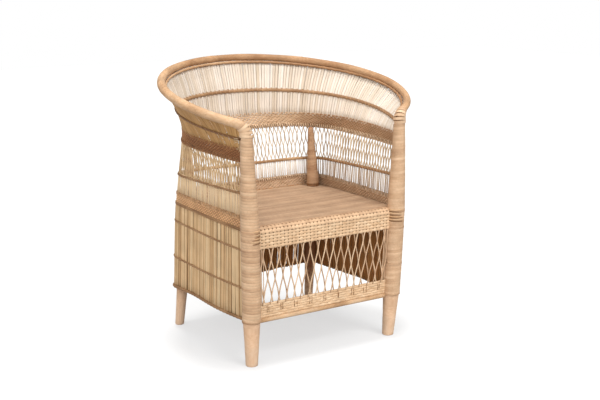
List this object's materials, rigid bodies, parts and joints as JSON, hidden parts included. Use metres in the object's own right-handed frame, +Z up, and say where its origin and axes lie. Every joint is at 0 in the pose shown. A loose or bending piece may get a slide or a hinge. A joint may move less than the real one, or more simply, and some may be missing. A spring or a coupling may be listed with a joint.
{
  "type": "cane armchair",
  "caption": "Barrel-back cane armchair: a flared wall of canes, weave and diamond lattice bent round a woven seat, on tapered legs, with wrapped posts under a thick curved rim.",
  "frame": {"origin": "on the floor, under the middle of the chair's box", "axes": "+Z up, -Y the way the chair faces, +X to the left of someone who sits in it"},
  "size_m": [0.7768, 0.5718, 0.8275],
  "materials": {
    "peeled_pole": "peeled and bare, satin",
    "cane_peel": "flat cane peel, satin",
    "rim_pole": "bent peeled pole, satin",
    "split_reed": "split reed, matt",
    "straw_canes": "pale dry cane, matt",
    "woven_cane": "close weave, matt",
    "seat_weave": "fine close weave, matt"
  },
  "bodies": {
    "root": {"front_left_post": "peeled_pole", "front_right_post": "peeled_pole", "rear_left_post": "peeled_pole", "rear_right_post": "peeled_pole", "seat_rail_front": "peeled_pole", "seat_rail_back": "peeled_pole", "seat_rail_left": "peeled_pole", "seat_rail_right": "peeled_pole", "seat_bearer_1": "peeled_pole", "seat_bearer_2": "peeled_pole", "seat_bearer_3": "peeled_pole", "front_left_wrap": "cane_peel", "front_right_wrap": "cane_peel", "rear_left_wrap": "cane_peel", "rear_right_wrap": "cane_peel", "top_rim": "rim_pole", "front_lower_rail": "rim_pole", "under_rim_rod": "split_reed", "flare_rod_inner": "split_reed", "flare_rod_outer": "split_reed", "mid_rod_inner": "split_reed", "mid_rod_outer": "split_reed", "seat_band_rod": "split_reed", "upper_binder_outer": "split_reed", "upper_binder_inner": "split_reed", "lower_binder_outer": "split_reed", "bottom_hoop": "split_reed", "flare_canes": "straw_canes", "lattice_left": "straw_canes", "lattice_back": "straw_canes", "lattice_right": "straw_canes", "skirt_canes_left": "straw_canes", "skirt_canes_back": "straw_canes", "skirt_canes_right": "straw_canes", "front_lattice": "cane_peel", "upper_woven_band": "woven_cane", "seat_woven_band": "woven_cane", "front_apron": "woven_cane", "front_lower_band": "woven_cane", "seat_panel": "seat_weave"}
  },
  "joints": []
}
